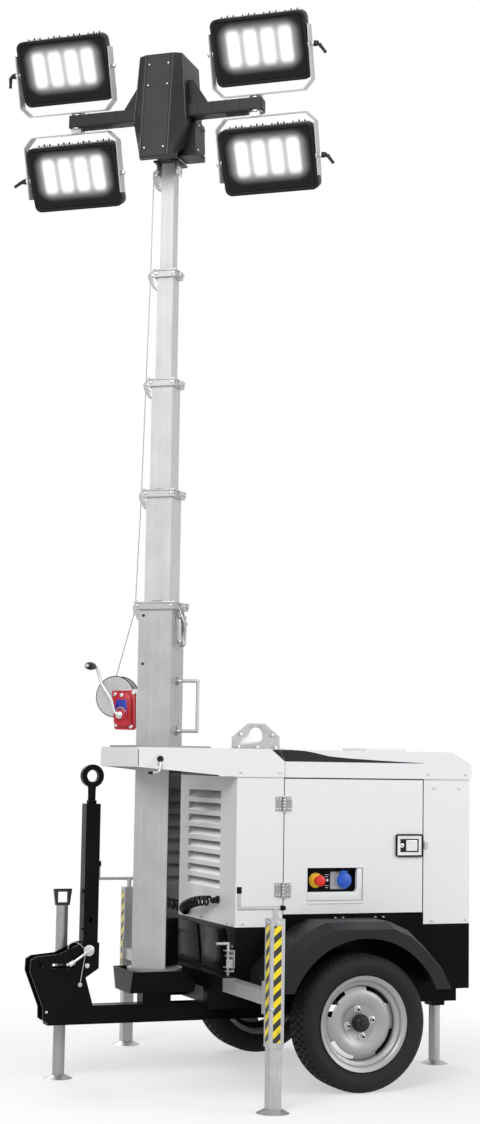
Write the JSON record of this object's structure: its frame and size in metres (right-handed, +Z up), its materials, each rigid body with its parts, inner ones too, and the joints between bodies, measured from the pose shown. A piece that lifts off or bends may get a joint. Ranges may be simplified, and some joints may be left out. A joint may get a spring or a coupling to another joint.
{
  "type": "mobile light tower",
  "caption": "Towable light tower: generator trailer on wheels with folding drawbar, outrigger legs and a telescopic turning mast that carries tilting flood lamps.",
  "frame": {"origin": "on the ground under the middle of the whole machine", "axes": "+X forward to the towing eye, +Y to the left side, +Z up"},
  "size_m": [1.9625, 1.848, 4.3283],
  "materials": {
    "frame_black": "satin",
    "body_white": "gloss",
    "body_black": "satin",
    "galvanised": "matte",
    "tyre_rubber": "matte",
    "rim_silver": "satin",
    "fender_grey": "matte",
    "head_grey": "satin",
    "lamp_dark": "satin",
    "winch_red": "gloss",
    "winch_grey": "satin",
    "cable_black": "satin",
    "stop_red": "gloss",
    "inlet_blue": "satin",
    "engine_iron": "matte",
    "plate_grey": "satin"
  },
  "bodies": {
    "chassis": {"chassis_frame": "frame_black", "axle_beam": "frame_black", "drawbar_tube": "frame_black", "drawbar_head": "frame_black", "rear_leg_clamp": "frame_black", "outrigger_pin_left": "galvanised", "outrigger_pin_right": "galvanised", "lower_body": "body_black", "fender_left": "fender_grey", "fender_right": "fender_grey", "canopy_front": "body_white", "canopy_rear": "body_white", "canopy_roof": "body_white", "mast_plate": "plate_grey", "lifting_plate": "galvanised", "engine_block": "engine_iron", "control_panel": "body_black", "emergency_stop": "stop_red", "power_inlet": "inlet_blue", "mast_tray": "frame_black", "mast_bearing": "plate_grey", "curled_lead": "cable_black", "cable_gland_left": "cable_black", "cable_gland_right": "cable_black", "roof_hatch": "body_white"},
    "wheel_left": {"tyre_left": "tyre_rubber", "rim_left": "rim_silver"},
    "wheel_right": {"tyre_right": "tyre_rubber", "rim_right": "rim_silver"},
    "towing_arm": {"drawbar_arm": "frame_black", "towing_eye": "frame_black"},
    "front_prop": {"jack": "galvanised"},
    "rear_prop": {"rear_leg": "galvanised"},
    "beam_left": {"outrigger_left": "galvanised"},
    "beam_right": {"outrigger_right": "galvanised"},
    "leg_foot_left": {"foot_left": "galvanised"},
    "leg_foot_right": {"foot_right": "galvanised"},
    "mast_base": {"mast_section_1": "galvanised", "winch_frame": "winch_red", "winch_drum": "winch_grey", "winch_crank": "galvanised", "mast_handle": "galvanised", "mast_lock": "galvanised"},
    "mast_second": {"mast_section_2": "galvanised"},
    "mast_third": {"mast_section_3": "galvanised"},
    "mast_fourth": {"mast_section_4": "galvanised"},
    "mast_top": {"mast_section_5": "galvanised", "mast_head": "head_grey", "head_box": "lamp_dark"},
    "side_door_left": {"door_left": "body_white"},
    "side_door_right": {"door_right": "body_white"},
    "bracket_front_upper": {"yoke_front_upper": "galvanised"},
    "flood_front_upper": {"lamp_front_upper": "lamp_dark"},
    "bracket_front_lower": {"yoke_front_lower": "galvanised"},
    "flood_front_lower": {"lamp_front_lower": "lamp_dark"},
    "bracket_rear_upper": {"yoke_rear_upper": "galvanised"},
    "flood_rear_upper": {"lamp_rear_upper": "lamp_dark"},
    "bracket_rear_lower": {"yoke_rear_lower": "galvanised"},
    "flood_rear_lower": {"lamp_rear_lower": "lamp_dark"}
  },
  "joints": [
    {"name": "wheel_left_spin", "type": "hinge", "parent": "chassis", "child": "wheel_left", "pos_m": [-0.3103, 0.535, 0.264], "axis": [0, 1, 0], "continuous": true},
    {"name": "wheel_right_spin", "type": "hinge", "parent": "chassis", "child": "wheel_right", "pos_m": [-0.3103, -0.535, 0.264], "axis": [0, 1, 0], "continuous": true},
    {"name": "towing_arm_fold", "type": "hinge", "parent": "chassis", "child": "towing_arm", "pos_m": [0.6397, 0, 0.512], "axis": [0, 1, 0], "range_deg": [0, 90]},
    {"name": "front_prop_slide", "type": "slide", "parent": "chassis", "child": "front_prop", "axis": [0, 0, 1], "range_m": [0, 0.2]},
    {"name": "rear_prop_slide", "type": "slide", "parent": "chassis", "child": "rear_prop", "axis": [0, 0, 1], "range_m": [0, 0.2]},
    {"name": "beam_left_slide", "type": "slide", "parent": "chassis", "child": "beam_left", "axis": [0, -1, 0], "range_m": [0, 0.265]},
    {"name": "beam_right_slide", "type": "slide", "parent": "chassis", "child": "beam_right", "axis": [0, 1, 0], "range_m": [0, 0.265]},
    {"name": "foot_left_slide", "type": "slide", "parent": "beam_left", "child": "leg_foot_left", "axis": [0, 0, 1], "range_m": [0, 0.19]},
    {"name": "foot_right_slide", "type": "slide", "parent": "beam_right", "child": "leg_foot_right", "axis": [0, 0, 1], "range_m": [0, 0.19]},
    {"name": "mast_turn", "type": "hinge", "parent": "chassis", "child": "mast_base", "pos_m": [0.3457, 0, 0.436], "axis": [0, 0, 1], "range_deg": [-170, 170]},
    {"name": "mast_raise_second", "type": "slide", "parent": "mast_base", "child": "mast_second", "axis": [0, 0, 1], "range_m": [-0.415, 0.7]},
    {"name": "mast_raise_third", "type": "slide", "parent": "mast_second", "child": "mast_third", "axis": [0, 0, 1], "range_m": [-0.415, 0.7]},
    {"name": "mast_raise_fourth", "type": "slide", "parent": "mast_third", "child": "mast_fourth", "axis": [0, 0, 1], "range_m": [-0.415, 0.7]},
    {"name": "mast_raise_top", "type": "slide", "parent": "mast_fourth", "child": "mast_top", "axis": [0, 0, 1], "range_m": [-0.415, 0.7]},
    {"name": "bracket_turn_front_upper", "type": "hinge", "parent": "mast_top", "child": "bracket_front_upper", "pos_m": [0.69583, -0.20502, 4.002], "axis": [0, 0, 1], "range_deg": [-90, 90]},
    {"name": "lamp_tilt_front_upper", "type": "hinge", "parent": "bracket_front_upper", "child": "flood_front_upper", "pos_m": [0.76685, -0.1795, 4.18326], "axis": [0.766, -0.6428, 0], "range_deg": [-60, 60]},
    {"name": "bracket_turn_front_lower", "type": "hinge", "parent": "mast_top", "child": "bracket_front_lower", "pos_m": [0.69583, -0.20502, 3.938], "axis": [0, 0, 1], "range_deg": [-90, 90]},
    {"name": "lamp_tilt_front_lower", "type": "hinge", "parent": "bracket_front_lower", "child": "flood_front_lower", "pos_m": [0.68303, -0.2794, 3.75674], "axis": [0.766, -0.6428, 0], "range_deg": [-60, 60]},
    {"name": "bracket_turn_rear_upper", "type": "hinge", "parent": "mast_top", "child": "bracket_rear_upper", "pos_m": [0.08299, 0.30921, 4.002], "axis": [0, 0, 1], "range_deg": [-90, 90]},
    {"name": "lamp_tilt_rear_upper", "type": "hinge", "parent": "bracket_rear_upper", "child": "flood_rear_upper", "pos_m": [0.09579, 0.38358, 4.18326], "axis": [0.766, -0.6428, 0], "range_deg": [-60, 60]},
    {"name": "bracket_turn_rear_lower", "type": "hinge", "parent": "mast_top", "child": "bracket_rear_lower", "pos_m": [0.08299, 0.30921, 3.938], "axis": [0, 0, 1], "range_deg": [-90, 90]},
    {"name": "lamp_tilt_rear_lower", "type": "hinge", "parent": "bracket_rear_lower", "child": "flood_rear_lower", "pos_m": [0.01197, 0.28369, 3.75674], "axis": [0.766, -0.6428, 0], "range_deg": [-60, 60]},
    {"name": "door_left_swing", "type": "hinge", "parent": "chassis", "child": "side_door_left", "pos_m": [-0.0583, 0.373, 0.935], "axis": [0, 0, -1], "range_deg": [0, 95]},
    {"name": "door_right_swing", "type": "hinge", "parent": "chassis", "child": "side_door_right", "pos_m": [-0.0583, -0.373, 0.935], "axis": [0, 0, 1], "range_deg": [0, 95]}
  ],
  "couplings": [
    {"joint": "mast_raise_third", "follows": "mast_raise_second", "ratio": 1},
    {"joint": "mast_raise_fourth", "follows": "mast_raise_second", "ratio": 1},
    {"joint": "mast_raise_top", "follows": "mast_raise_second", "ratio": 1}
  ]
}
